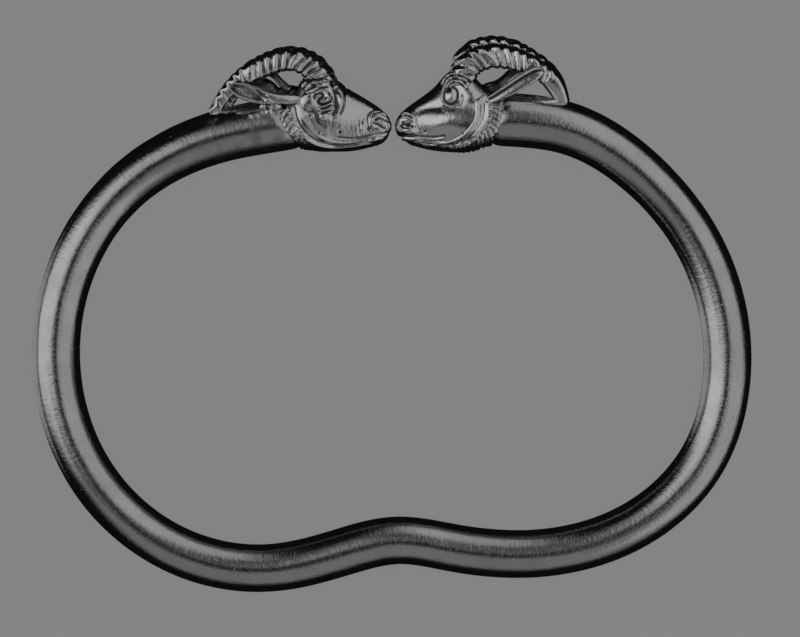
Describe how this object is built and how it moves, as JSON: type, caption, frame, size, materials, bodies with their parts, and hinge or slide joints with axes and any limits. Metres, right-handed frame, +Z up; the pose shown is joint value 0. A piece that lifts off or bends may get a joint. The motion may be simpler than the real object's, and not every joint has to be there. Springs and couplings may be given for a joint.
{
  "type": "animal-head bracelet",
  "caption": "Open bracelet: a kidney-shaped round bar whose ends are facing heads of horned wild goats.",
  "frame": {"origin": "centre of the bounding box, on the surface that the bracelet lies on", "axes": "+X along the longest side, from the left head's arm to the right head's arm; +Y from the dent towards the heads; +Z up, square to the plane of the hoop"},
  "size_m": [0.0843, 0.0655, 0.0064],
  "materials": {
    "hoop_silver": "old silver, polished and worn",
    "left_head_silver": "old silver, chased, dark in the hollows",
    "right_head_silver": "old silver, chased, dark in the hollows"
  },
  "bodies": {
    "root": {"hoop": "hoop_silver", "left_head": "left_head_silver", "right_head": "right_head_silver"}
  },
  "joints": []
}
